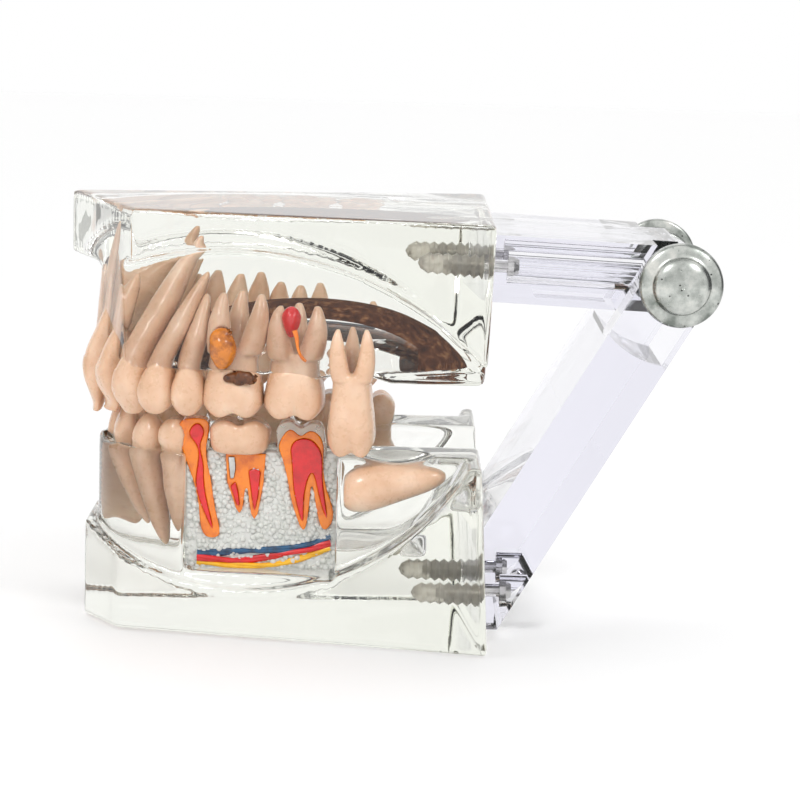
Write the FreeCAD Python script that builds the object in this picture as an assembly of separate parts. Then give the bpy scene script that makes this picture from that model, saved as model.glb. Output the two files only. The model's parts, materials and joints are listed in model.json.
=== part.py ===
"""Clear dental model: two cast resin jaws with teeth, joined by an acrylic hinge.

Millimetres. The front teeth point to -X, the hinge rod lies along Y at +X, the
patient's left side is at -Y, and the lower jaw's flat bottom is at Z = 0.
"""
import FreeCAD, Part
import math
import os

V = FreeCAD.Vector
UP = V(0, 0, 1)

# Whole model
TOTAL_HEIGHT = 73.5
BACK_X = 18.4
BACK_HALF = 34.5
SIDE_TAPER = math.tan(math.radians(12.4))
FRONT_X = -58.15

# Jaw blocks
UPPER_NEAR_CORNER_X = -43.6
LOWER_CORNER_X = -45.6
LOWER_FLAT_X = -52.2
LOWER_FLAT_HALF = 10.0
UPPER_GUM_Z = 45.5
LOWER_GUM_Z = 31.8
SCOOP_X = -25.0
UPPER_SCOOP_RADIUS = 58.0
UPPER_SCOOP_TOP_Z = 67.3
PLATE_UNDERSIDE_Z = 61.8
LOWER_SCOOP_RADIUS = 46.0
LOWER_SCOOP_LOW_Z = 8.5
ARCH_POWER = 2.8
EDGE_FILLET = 1.2
UPPER_BACK_DRAFT = 2.0
LOWER_BACK_DRAFT = 3.2

# Palate vault and tongue space
VAULT_CENTRE = V(-12.0, 0, 44.0)
VAULT_HALF_LENGTH = 27.0
VAULT_RADIUS = 13.0
LINING_HALF_WIDTH = 8.0
LINING_BACK_X = 6.0
LINING_THICKNESS = 0.5
TONGUE_FLOOR_Z = 13.5
TONGUE_FRONT = 36.5
TONGUE_HALF = 11.5
TONGUE_BACK_X = 10.0

# Hinge
ROD_X = 50.3
ROD_Z = 63.2
ROD_RADIUS = 3.0
RUNNING_GAP = 0.06
ARM_HALF_WIDTH = 23.0
UPPER_ARM_THICKNESS = 11.5
UPPER_ARM_TOP_Z = 70.9
UPPER_ARM_DROOP = 2.2
LOWER_ARM_THICKNESS = 11.6
LOWER_ARM_ANGLE = 59.4
LOWER_ARM_FOOT_Z = 2.2
CLOSING_GAP = 1.2
TONGUE_WIDTH = 26.0
CHEEK_GAP = 0.3
SLOT_DEPTH = 15.0
CAP_RADIUS = 7.2
CAP_OUT = 4.6
CAP_FLANGE = 1.6

# Screws and their anchors
SCREW_Y = 15.0
SCREW_RADIUS = 1.15
HEAD_RADIUS = 2.5
HEAD_THICKNESS = 2.0
HEAD_SEAT = 2.8
ACCESS_RADIUS = 2.9
ANCHOR_RADIUS = 2.2
ANCHOR_LENGTH = 11.5
ANCHOR_PITCH = 1.6
ANCHOR_SETBACK = 0.2
SCREW_LENGTH = 9.5
LOWER_SCREW_Z = 8.0

# Window in the lower left side
WINDOW_Y = -18.5
WINDOW_X = (-33.9, -7.4)
WINDOW_Z = (10.8, 40.0)
BONE_DEPTH = 3.0
SECTION_DEPTH = 4.0
PULP_DEPTH = 1.0

# Contact between the jaws
BITE_UPPER_Z = 38.0
BITE_LOWER_Z = 37.3


def superellipse_points(half_x, half_y, count):
    """Half an oval open towards +X, from -Y round the front to +Y."""
    points = []
    for i in range(count + 1):
        angle = math.radians(-90 + 180.0 * i / count)
        cos_part = max(math.cos(angle), 0.0)
        sin_part = abs(math.sin(angle))
        x = -half_x * cos_part ** (2 / ARCH_POWER)
        y = half_y * math.copysign(sin_part ** (2 / ARCH_POWER), angle)
        points.append((x, y))
    return points


def arch_wire(half_x, half_y, back_x, z):
    points = [V(x, y, z) for x, y in superellipse_points(half_x, half_y, 16)]
    curve = Part.BSplineCurve()
    curve.interpolate(points)
    near = V(back_x, -half_y, z)
    far = V(back_x, half_y, z)
    edges = [
        curve.toShape(),
        Part.makeLine(points[-1], far),
        Part.makeLine(far, near),
        Part.makeLine(near, points[0]),
    ]
    return Part.Wire(edges)


def arch_solid(half_x, half_y, back_x, z_low, z_high, flare=0.0):
    """A horseshoe's filled outline; flare widens it towards z_high."""
    low = arch_wire(half_x, half_y, back_x, z_low)
    high = arch_wire(half_x + flare, half_y + flare, back_x, z_high)
    return Part.makeLoft([low, high], True, True)


def side_y(x):
    return BACK_HALF - (BACK_X - x) * SIDE_TAPER


def prism(outline, z_low, z_high):
    wire = Part.makePolygon([V(x, y, z_low) for x, y in outline + outline[:1]])
    return Part.Face(wire).extrude(V(0, 0, z_high - z_low))


def profile_y(outline, y_low, y_high):
    """Extrudes an XZ outline along Y."""
    wire = Part.makePolygon([V(x, y_low, z) for x, z in outline + outline[:1]])
    return Part.Face(wire).extrude(V(0, y_high - y_low, 0))


def round_upright_edges(solid, radius, x_limit):
    edges = []
    for edge in solid.Edges:
        direction = edge.tangentAt(edge.FirstParameter)
        if abs(direction.z) > 0.95 and edge.CenterOfMass.x < x_limit:
            edges.append(edge)
    return solid.makeFillet(radius, edges)


def round_flat_edges(solid, z, radius):
    edges = [
        e for e in solid.Edges
        if abs(e.BoundBox.ZMin - z) < 0.01 and abs(e.BoundBox.ZMax - z) < 0.01
    ]
    return solid.makeFillet(radius, edges)


def back_wedge(z_pivot, x_pivot, draft, leans_up):
    """Everything behind a back face that leans by the draft angle."""
    lean = math.tan(math.radians(draft)) * (1 if leans_up else -1)
    low = x_pivot + (-5 - z_pivot) * lean
    high = x_pivot + (85 - z_pivot) * lean
    outline = [(low, -5), (90, -5), (90, 85), (high, 85)]
    return profile_y(outline, -60, 60)


def upper_block():
    outline = [
        (BACK_X + 6, -side_y(BACK_X + 6)),
        (BACK_X + 6, side_y(BACK_X + 6)),
        (FRONT_X, side_y(FRONT_X)),
        (UPPER_NEAR_CORNER_X, -side_y(UPPER_NEAR_CORNER_X)),
    ]
    block = prism(outline, UPPER_GUM_Z, TOTAL_HEIGHT)
    block = round_upright_edges(block, 2.0, 0)
    block = block.cut(back_wedge(TOTAL_HEIGHT, BACK_X, UPPER_BACK_DRAFT, True))
    block = round_flat_edges(block, TOTAL_HEIGHT, EDGE_FILLET)
    scoop = Part.makeCylinder(
        UPPER_SCOOP_RADIUS, 120,
        V(SCOOP_X, -60, UPPER_SCOOP_TOP_Z - UPPER_SCOOP_RADIUS), V(0, 1, 0),
    )
    front = Part.makeBox(31, 120, PLATE_UNDERSIDE_Z, V(-80, -60, 0))
    scoop = scoop.fuse(front)
    core = arch_solid(52.6, 25.8, 40, UPPER_GUM_Z - 1, TOTAL_HEIGHT, -3.4)
    block = block.cut(scoop.cut(core))
    return block.cut(vault(0))


def spheroid(centre, half_length, radius, axis):
    """An egg with round sections: an ellipse's half turned about its own axis."""
    if half_length > radius:
        ellipse = Part.Ellipse(V(0, 0, half_length), V(radius, 0, 0), V(0, 0, 0))
        arc = Part.ArcOfEllipse(ellipse, math.pi, 2 * math.pi)
    else:
        ellipse = Part.Ellipse(V(radius, 0, 0), V(0, 0, half_length), V(0, 0, 0))
        arc = Part.ArcOfEllipse(ellipse, -math.pi / 2, math.pi / 2)
    edge = arc.toShape()
    chord = Part.makeLine(edge.Vertexes[-1].Point, edge.Vertexes[0].Point)
    solid = Part.Face(Part.Wire([edge, chord])).revolve(V(0, 0, 0), UP, 360)
    if solid.Volume < 0:
        solid.reverse()
    solid.Placement = FreeCAD.Placement(centre, FreeCAD.Rotation(UP, axis))
    return solid


def vault(inset):
    return spheroid(VAULT_CENTRE, VAULT_HALF_LENGTH - inset, VAULT_RADIUS - inset, V(1, 0, 0))


def palate_lining():
    shell = vault(0).cut(vault(LINING_THICKNESS))
    strip = Part.makeBox(
        60, 2 * LINING_HALF_WIDTH, 20,
        V(VAULT_CENTRE.x - 30, -LINING_HALF_WIDTH, UPPER_GUM_Z + 0.2),
    )
    back = Part.makeBox(20, 40, 20, V(LINING_BACK_X, -20, UPPER_GUM_Z + 0.2))
    return shell.common(strip.fuse(back))


def lower_block():
    outline = [
        (BACK_X + 6, -side_y(BACK_X + 6)),
        (BACK_X + 6, side_y(BACK_X + 6)),
        (LOWER_CORNER_X, side_y(LOWER_CORNER_X)),
        (LOWER_FLAT_X, LOWER_FLAT_HALF),
        (LOWER_FLAT_X, -LOWER_FLAT_HALF),
        (LOWER_CORNER_X, -side_y(LOWER_CORNER_X)),
    ]
    block = prism(outline, 0, LOWER_GUM_Z)
    block = round_upright_edges(block, 2.0, 0)
    block = block.cut(back_wedge(0, BACK_X + 0.6, LOWER_BACK_DRAFT, False))
    block = round_flat_edges(block, 0, EDGE_FILLET)
    scoop = Part.makeCylinder(
        LOWER_SCOOP_RADIUS, 120,
        V(SCOOP_X, -60, LOWER_SCOOP_LOW_Z + LOWER_SCOOP_RADIUS), V(0, 1, 0),
    )
    core = arch_solid(50.6, 24.6, 40, -1, LOWER_GUM_Z + 1)
    block = block.cut(scoop.cut(core))
    tongue = arch_solid(TONGUE_FRONT, TONGUE_HALF, TONGUE_BACK_X, TONGUE_FLOOR_Z, 50)
    block = block.cut(tongue)
    saddle = Part.makeBox(30, 2 * TONGUE_HALF, 30, V(TONGUE_BACK_X - 1, -TONGUE_HALF, 22))
    block = block.cut(saddle)
    window = Part.makeBox(
        WINDOW_X[1] - WINDOW_X[0], 20, WINDOW_Z[1] - WINDOW_Z[0],
        V(WINDOW_X[0], WINDOW_Y - 20, WINDOW_Z[0]),
    )
    return block.cut(window)


# Each ring of a tooth: share of the crown (below 1) or root (above 1), width, depth
INCISOR_RINGS = [(0.0, 0.90, 0.26), (0.35, 1.0, 0.52), (0.8, 0.90, 0.92), (1.0, 0.78, 0.98)]
CANINE_RINGS = [(0.0, 0.30, 0.30), (0.25, 0.86, 0.66), (0.6, 1.0, 0.94), (1.0, 0.80, 0.98)]
PREMOLAR_RINGS = [(0.0, 0.62, 0.66), (0.18, 0.92, 0.90), (0.55, 1.0, 1.0), (1.0, 0.74, 0.86)]
MOLAR_RINGS = [(0.0, 0.82, 0.78), (0.16, 0.97, 0.94), (0.55, 1.0, 1.0), (1.0, 0.86, 0.88)]
ROOT_RINGS = [(1.35, 0.70, 0.82), (1.7, 0.50, 0.60), (1.93, 0.26, 0.30), (2.0, 0.10, 0.12)]
TRUNK_RINGS = [(1.3, 0.82, 0.84)]


def oval_ring(centre, half_w, half_d, turn, power=2.4):
    """A rounded ring: width along the arch, depth across it."""
    points = []
    for i in range(12):
        angle = 2 * math.pi * i / 12
        c, s = math.cos(angle), math.sin(angle)
        along = half_w * math.copysign(abs(c) ** (2 / power), c)
        across = half_d * math.copysign(abs(s) ** (2 / power), s)
        x = along * math.cos(turn) - across * math.sin(turn)
        y = along * math.sin(turn) + across * math.cos(turn)
        points.append(centre + V(x, y, 0))
    curve = Part.BSplineCurve()
    curve.interpolate(points, PeriodicFlag=True)
    return Part.Wire([curve.toShape()])


def tooth(x, y, tip_z, crown, root, width, depth, apex, rings, side, roots=1):
    """One tooth. side is +1 when the root points up, apex the root's shift in X and Y."""
    turn = arch_turn(x, y)
    shape = list(rings) + (ROOT_RINGS if roots == 1 else TRUNK_RINGS)
    wires = []
    for share, w, d in shape:
        z = min(share, 1.0) * crown + max(share - 1.0, 0.0) * root
        lean = max(share - 0.9, 0.0) / 1.1
        centre = V(x + apex[0] * lean, y + apex[1] * lean, tip_z + side * z)
        wires.append(oval_ring(centre, w * width / 2, d * depth / 2, turn))
    solid = Part.makeLoft(wires, True)
    if roots > 1:
        for spread in root_spread(roots):
            solid = solid.fuse(one_root(x, y, tip_z, crown, root, width, depth, apex, side, turn, spread))
    return solid.removeSplitter() if roots > 1 else solid


def arch_turn(x, y):
    """Turn about Z that lays a tooth's width along the arch."""
    slope = min(1.0, abs(y) / 19.0) ** 2.2
    angle = math.radians(90 * (1 - slope))
    return -angle if y < 0 else angle


def root_spread(roots):
    if roots == 2:
        return [(-0.26, 0.0), (0.26, 0.0)]
    return [(-0.27, 0.24), (0.27, 0.24), (0.0, -0.26)]


def one_root(x, y, tip_z, crown, root, width, depth, apex, side, turn, spread):
    outward = -1 if y < 0 else 1
    wires = []
    for share, grow, size in [(0.22, 0.8, 0.23), (0.55, 1.15, 0.20), (0.85, 1.2, 0.12), (1.0, 1.15, 0.05)]:
        along = spread[0] * width * grow
        across = spread[1] * depth * grow * outward
        cx = x + along * math.cos(turn) - across * math.sin(turn) + apex[0] * share
        cy = y + along * math.sin(turn) + across * math.cos(turn) + apex[1] * share
        centre = V(cx, cy, tip_z + side * (crown + share * root))
        wires.append(oval_ring(centre, size * width, size * depth * 1.1, turn, 2.0))
    return Part.makeLoft(wires, True)


# name, x, y (left side), crown tip z, crown, root, width, depth, apex shift, rings, roots
UPPER_TEETH = [
    ("central_incisor", -50.9, 4.1, 36.2, 10.0, 14.0, 7.7, 5.6, (5.0, 0.0), INCISOR_RINGS, 1),
    ("lateral_incisor", -47.9, 10.3, 37.2, 9.0, 15.0, 6.2, 5.6, (6.5, -1.0), INCISOR_RINGS, 1),
    ("canine", -43.6, 14.9, 37.3, 9.6, 22.0, 7.0, 7.2, (12.5, -1.5), CANINE_RINGS, 1),
    ("first_premolar", -39.1, 17.7, 38.0, 8.2, 16.5, 6.2, 8.0, (9.0, -0.8), PREMOLAR_RINGS, 1),
    ("second_premolar", -33.6, 18.9, 38.0, 8.0, 13.0, 5.8, 8.2, (3.4, -0.8), PREMOLAR_RINGS, 1),
    ("first_molar", -25.8, 19.2, 38.0, 8.0, 13.5, 10.3, 9.4, (1.6, -1.0), MOLAR_RINGS, 3),
    ("second_molar", -15.2, 19.8, 38.0, 7.8, 12.0, 10.2, 9.2, (0.6, -0.8), MOLAR_RINGS, 3),
    ("third_molar", -5.1, 20.2, 38.0, 7.2, 9.5, 8.6, 8.6, (0.2, -0.4), MOLAR_RINGS, 3),
]

LOWER_TEETH = [
    ("central_incisor", -46.6, 3.0, 39.4, 8.4, 13.0, 5.2, 5.0, (1.2, 0.0), INCISOR_RINGS, 1),
    ("lateral_incisor", -45.0, 8.4, 39.0, 8.2, 13.8, 5.4, 5.2, (2.6, -0.3), INCISOR_RINGS, 1),
    ("canine", -40.6, 13.2, 37.0, 8.4, 14.5, 6.0, 6.4, (2.6, -0.6), CANINE_RINGS, 1),
    ("first_premolar", -35.7, 15.9, 36.9, 7.0, 13.5, 5.6, 6.6, (1.6, -0.4), PREMOLAR_RINGS, 1),
    ("second_premolar", -29.8, 17.1, 37.2, 7.2, 13.0, 5.6, 7.0, (1.6, -0.4), PREMOLAR_RINGS, 1),
    ("first_molar", -21.9, 17.8, 37.2, 7.0, 11.5, 9.6, 8.4, (1.8, -0.4), MOLAR_RINGS, 2),
    ("second_molar", -12.0, 18.2, 37.2, 7.0, 11.5, 9.4, 8.4, (2.0, -0.4), MOLAR_RINGS, 2),
    ("third_molar", -2.4, 18.4, 37.2, 6.8, 10.0, 9.0, 8.2, (2.2, -0.4), MOLAR_RINGS, 2),
]


def row_of_teeth(rows, side, direction):
    """Teeth of one quadrant by name; direction is -1 on the left, +1 on the right."""
    teeth = {}
    previous = None
    for name, x, y, tip, crown, root, width, depth, apex, rings, roots in rows:
        shift = (apex[0], apex[1] * direction)
        solid = tooth(x, y * direction, tip, crown, root, width, depth, shift, rings, side, roots)
        if previous is not None:
            solid = solid.cut(previous)
            solid = max(solid.Solids, key=lambda s: s.Volume)
        teeth[name] = solid
        previous = solid
    return teeth


def section(outline, depth, front=WINDOW_Y):
    """A flat-faced slice behind the window, rounded by a spline through its outline."""
    points = [V(x, front, z) for x, z in outline]
    curve = Part.BSplineCurve()
    curve.interpolate(points, PeriodicFlag=True)
    face = Part.Face(Part.Wire([curve.toShape()]))
    return face.extrude(V(0, depth, 0))


def plain_section(outline, depth):
    """A flat-faced slice with straight sides."""
    return profile_y(outline, WINDOW_Y, WINDOW_Y + depth)


def premolar_section():
    dentine = section(
        [(-34.0, 37.0), (-32.2, 37.2), (-30.4, 36.8), (-30.3, 33.0), (-29.6, 27.0), (-28.2, 19.5),
         (-28.2, 16.4), (-29.6, 16.2), (-31.4, 20.5), (-33.2, 28.0)], SECTION_DEPTH)
    pulp = section(
        [(-32.9, 35.6), (-31.7, 36.2), (-30.9, 35.0), (-31.4, 33.0), (-31.0, 29.8), (-30.6, 25.0),
         (-29.1, 17.9), (-30.6, 21.0), (-32.0, 27.0), (-32.3, 33.0)], PULP_DEPTH)
    return dentine.cut(pulp), pulp


def molar_section():
    """Dentine, two canals and the post under the crown of the first molar."""
    dentine = plain_section(
        [(-27.0, 31.2), (-20.0, 31.2), (-20.3, 26.0), (-21.2, 20.6), (-21.8, 19.6), (-22.4, 20.6),
         (-23.3, 26.4), (-23.9, 21.4), (-24.4, 20.6), (-25.0, 21.4), (-26.6, 26.0)], SECTION_DEPTH)
    front_canal = plain_section(
        [(-26.0, 25.4), (-25.2, 26.2), (-24.7, 24.4), (-24.4, 22.0), (-24.9, 22.2)], PULP_DEPTH)
    back_canal = plain_section(
        [(-22.9, 28.2), (-21.9, 28.6), (-20.9, 28.2), (-21.2, 24.0), (-21.8, 21.0), (-22.3, 24.0)],
        PULP_DEPTH)
    post = plain_section(
        [(-26.5, 30.6), (-25.4, 30.6), (-25.2, 28.6), (-25.5, 26.8), (-26.1, 26.8)], PULP_DEPTH)
    canals = Part.makeCompound([front_canal, back_canal])
    return dentine.cut(front_canal).cut(back_canal).cut(post), canals, post


def second_molar_section():
    enamel_outer = section(
        [(-18.2, 34.4), (-17.2, 36.8), (-15.4, 36.9), (-14.0, 36.0), (-12.4, 36.8), (-10.6, 36.6),
         (-9.8, 34.0), (-9.6, 31.2), (-13.8, 30.6), (-18.0, 31.2)], SECTION_DEPTH)
    dentine = section(
        [(-16.9, 34.8), (-15.2, 35.4), (-14.0, 34.6), (-12.6, 35.4), (-10.9, 34.8), (-10.0, 31.0),
         (-9.2, 25.0), (-8.5, 19.0), (-9.2, 18.2), (-11.0, 21.8), (-11.9, 26.2), (-12.4, 21.0),
         (-13.2, 18.0), (-14.6, 20.6), (-16.2, 27.0), (-17.4, 31.2)], SECTION_DEPTH)
    pulp = section(
        [(-15.6, 31.6), (-14.6, 33.8), (-12.6, 34.0), (-10.9, 32.6), (-10.1, 27.4), (-9.2, 20.2),
         (-10.6, 24.4), (-11.9, 28.2), (-13.2, 24.4), (-13.4, 19.6), (-14.6, 23.4)], PULP_DEPTH)
    return enamel_outer.cut(dentine), dentine.cut(pulp), pulp


def crowned_molar():
    """A prosthetic crown sitting on the sectioned first molar."""
    wires = []
    for z, w, d in [(31.4, 4.4, 3.4), (32.6, 4.9, 4.0), (35.0, 5.2, 4.3), (36.8, 4.9, 3.9), (37.3, 4.0, 3.0)]:
        wires.append(oval_ring(V(-24.6, -17.4, z), w, d, 0.0, 2.6))
    return Part.makeLoft(wires, True)


def strand(z_start, sag, radius, y):
    """One strand of the nerve bundle, arched along the window's foot."""
    start = V(-31.6, y, z_start)
    middle = V(-20.0, y, z_start - sag)
    end = V(-8.6, y, z_start + 2.4)
    path = Part.Wire([Part.Arc(start, middle, end).toShape()])
    ring = Part.Wire([Part.makeCircle(radius, start, path.Edges[0].tangentAt(path.Edges[0].FirstParameter))])
    return path.makePipeShell([ring], True, False)


def impacted_molar():
    axis = V(17.5, 0, 3.0)
    start = V(-6.2, -23.2, 26.0)
    wires = []
    for share, half_z, half_y in [(0.0, 2.6, 2.4), (0.08, 3.7, 3.6), (0.28, 4.1, 4.0), (0.45, 3.6, 3.5),
                                  (0.75, 2.5, 2.6), (0.94, 1.4, 1.6), (1.0, 0.6, 0.7)]:
        centre = start + axis * share
        points = []
        for i in range(12):
            angle = 2 * math.pi * i / 12
            points.append(centre + V(0, half_y * math.cos(angle), half_z * math.sin(angle)))
        curve = Part.BSplineCurve()
        curve.interpolate(points, PeriodicFlag=True)
        wires.append(Part.Wire([curve.toShape()]))
    return Part.makeLoft(wires, True)


def implant_fixture():
    """Threaded post with a smooth collar, standing in the front of the lower jaw."""
    outline = [(0, 16.0), (0.9, 16.0)]
    z = 16.4
    while z < 29.6:
        outline += [(1.30, z), (1.30, z + 0.3), (1.02, z + 0.5), (1.02, z + 0.7)]
        z += 0.9
    outline += [(1.35, 30.2), (1.35, 31.6), (0, 31.6)]
    return turned(outline, V(-47.4, -2.9, 0), UP)


def turned(outline, origin, axis):
    """Revolves a radius-height outline about an axis through the origin."""
    points = [V(r, 0, h) for r, h in outline]
    face = Part.Face(Part.makePolygon(points + points[:1]))
    solid = face.revolve(V(0, 0, 0), UP, 360)
    solid.Placement = FreeCAD.Placement(origin, FreeCAD.Rotation(UP, axis))
    return solid


def hinge_rod():
    reach = ARM_HALF_WIDTH + CAP_OUT - 1.6
    return Part.makeCylinder(ROD_RADIUS, 2 * reach, V(ROD_X, -reach, ROD_Z), V(0, 1, 0))


def rod_cap(direction):
    """Domed push-on cap with a bore for the rod's end."""
    inner = V(ROD_X, direction * ARM_HALF_WIDTH, ROD_Z)
    outline = [
        (0, 0), (CAP_RADIUS - 0.4, 0), (CAP_RADIUS, 0.4), (CAP_RADIUS, CAP_FLANGE),
        (CAP_RADIUS - 0.6, CAP_FLANGE + 0.6), (5.3, 2.7), (4.6, 3.5), (3.2, 4.2), (1.4, CAP_OUT),
        (0.5, CAP_OUT), (0, CAP_OUT - 0.2),
    ]
    cap = turned(outline, inner, V(0, direction, 0))
    return cap.cut(hinge_rod())


def upper_direction():
    droop = math.radians(UPPER_ARM_DROOP)
    return V(math.cos(droop), 0, -math.sin(droop))


def lower_direction():
    """From the rod down to the lower block."""
    angle = math.radians(LOWER_ARM_ANGLE)
    return V(-math.cos(angle), 0, -math.sin(angle))


def slab(origin, along, up, length, low, high, y_half):
    """A box along a slanted direction, between two offsets across it."""
    corners = [(0, low), (length, low), (length, high), (0, high)]
    points = [origin + along * a + up * b - V(0, y_half, 0) for a, b in corners]
    return Part.Face(Part.makePolygon(points + points[:1])).extrude(V(0, 2 * y_half, 0))


def upper_arm():
    along = upper_direction()
    up = V(-along.z, 0, along.x)
    rod = V(ROD_X, 0, ROD_Z)
    half = UPPER_ARM_THICKNESS / 2
    root = V(BACK_X, 0, UPPER_ARM_TOP_Z) - up * half
    bar = slab(root - along * 3, along, up, 60, -half, half, ARM_HALF_WIDTH)
    bar = bar.cut(upper_block_envelope())
    down = lower_direction()
    normal = V(down.z, 0, -down.x)
    beyond = slab(rod - down * 60, down, normal, 160, -80, LOWER_ARM_THICKNESS / 2 + CLOSING_GAP, 40)
    body = bar.cut(beyond)
    reach = (rod - root).dot(along)
    offset = (rod - root).dot(up)
    tongue = slab(root + along * (reach - 24), along, up, 24, offset - half, half, TONGUE_WIDTH / 2)
    end_round = Part.makeCylinder(
        half, TONGUE_WIDTH, rod - V(0, TONGUE_WIDTH / 2, 0), V(0, 1, 0))
    tongue = tongue.fuse(end_round)
    arm = body.fuse(tongue).removeSplitter()
    arm = arm.cut(Part.makeCylinder(ROD_RADIUS + RUNNING_GAP, 80, rod - V(0, 40, 0), V(0, 1, 0)))
    for y in (-SCREW_Y, SCREW_Y):
        face = face_point(y, upper=True)
        arm = arm.cut(Part.makeCylinder(SCREW_RADIUS, 20, face - along * 5, along))
        arm = arm.cut(Part.makeCylinder(ACCESS_RADIUS, 60, face + along * HEAD_SEAT, along))
    return max(arm.Solids, key=lambda s: s.Volume)


def upper_block_envelope():
    """The side of the upper block's back face that the block fills."""
    lean = math.tan(math.radians(UPPER_BACK_DRAFT))
    low = BACK_X - (TOTAL_HEIGHT + 5) * lean
    high = BACK_X + (85 - TOTAL_HEIGHT) * lean
    return profile_y([(-80, -5), (low, -5), (high, 85), (-80, 85)], -60, 60)


def lower_block_envelope():
    lean = math.tan(math.radians(LOWER_BACK_DRAFT))
    low = BACK_X + 0.6 + 5 * lean
    high = BACK_X + 0.6 - 85 * lean
    return profile_y([(-80, -5), (low, -5), (high, 85), (-80, 85)], -60, 60)


def lower_arm():
    rod = V(ROD_X, 0, ROD_Z)
    down = lower_direction()
    normal = V(down.z, 0, -down.x)
    half = LOWER_ARM_THICKNESS / 2
    bar = slab(rod, down, normal, 90, -half, half, ARM_HALF_WIDTH)
    bar = bar.fuse(Part.makeCylinder(half, 2 * ARM_HALF_WIDTH, rod - V(0, ARM_HALF_WIDTH, 0), V(0, 1, 0)))
    bar = bar.cut(lower_block_envelope())
    bar = bar.cut(Part.makeBox(200, 120, 60, V(-100, -60, LOWER_ARM_FOOT_Z - 60)))
    slot_half = TONGUE_WIDTH / 2 + CHEEK_GAP
    slot = Part.makeCylinder(SLOT_DEPTH, 2 * slot_half, rod - V(0, slot_half, 0), V(0, 1, 0))
    bar = bar.cut(slot)
    bar = bar.removeSplitter()
    bar = bar.cut(Part.makeCylinder(ROD_RADIUS, 80, rod - V(0, 40, 0), V(0, 1, 0)))
    for y in (-SCREW_Y, SCREW_Y):
        face = face_point(y, upper=False)
        bar = bar.cut(Part.makeCylinder(SCREW_RADIUS, 20, face - V(5, 0, 0), V(1, 0, 0)))
        bar = bar.cut(Part.makeCylinder(ACCESS_RADIUS, 30, face + V(HEAD_SEAT, 0, 0), V(1, 0, 0)))
    return max(bar.Solids, key=lambda s: s.Volume)


def face_point(y, upper):
    """Where a screw's axis meets its block's back face."""
    if upper:
        z = UPPER_ARM_TOP_Z - UPPER_ARM_THICKNESS / 2
        lean = math.tan(math.radians(UPPER_BACK_DRAFT))
        return V(BACK_X - (TOTAL_HEIGHT - z) * lean, y, z)
    lean = math.tan(math.radians(LOWER_BACK_DRAFT))
    return V(BACK_X + 0.6 - LOWER_SCREW_Z * lean, y, LOWER_SCREW_Z)


def screw(y, upper):
    along = upper_direction() if upper else V(1, 0, 0)
    face = face_point(y, upper)
    shank_end = -(SCREW_LENGTH - HEAD_SEAT)
    outline = [
        (0, shank_end), (0.5, shank_end), (SCREW_RADIUS, shank_end + 1.5), (SCREW_RADIUS, HEAD_SEAT),
        (HEAD_RADIUS, HEAD_SEAT), (HEAD_RADIUS, HEAD_SEAT + 1.1), (HEAD_RADIUS - 0.7, HEAD_SEAT + HEAD_THICKNESS),
        (0.8, HEAD_SEAT + HEAD_THICKNESS), (0.8, HEAD_SEAT + 0.9), (0, HEAD_SEAT + 0.9),
    ]
    return turned(outline, face, along)


def anchor(y, upper):
    """Corrugated plug cast into the resin, with the screw in its bore."""
    along = upper_direction() if upper else V(1, 0, 0)
    face = face_point(y, upper)
    outline = [(0, -ANCHOR_SETBACK), (ANCHOR_RADIUS, -ANCHOR_SETBACK)]
    depth = 0.0
    while depth < ANCHOR_LENGTH - 3.5:
        depth += ANCHOR_PITCH / 2
        outline.append((ANCHOR_RADIUS - 0.7, -depth))
        depth += ANCHOR_PITCH / 2
        outline.append((ANCHOR_RADIUS - 0.06 * depth / ANCHOR_PITCH, -depth))
    outline += [(ANCHOR_RADIUS - 1.2, -depth - 1.4), (0, -ANCHOR_LENGTH)]
    plug = turned(outline, face, along)
    return plug.cut(screw(y, upper))


def abscess():
    return spheroid(V(-18.6, -22.6, 59.4), 2.7, 1.8, UP)


def abscess_tract():
    start = V(-17.2, -22.6, 57.6)
    end = V(-16.2, -24.0, 52.2)
    return Part.makeCone(0.55, 0.4, (end - start).Length, start, end - start)


def cyst():
    return spheroid(V(-27.6, -23.6, 50.4), 3.6, 2.4, UP)


def caries():
    return spheroid(V(-24.4, -23.5, 45.2), 2.9, 1.2, V(1, 0, 0))


def cut_all(solid, tools):
    """Cuts a list of tools from a solid and keeps its main body."""
    for tool in tools:
        solid = solid.cut(tool)
    return max(solid.Solids, key=lambda s: s.Volume)


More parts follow.
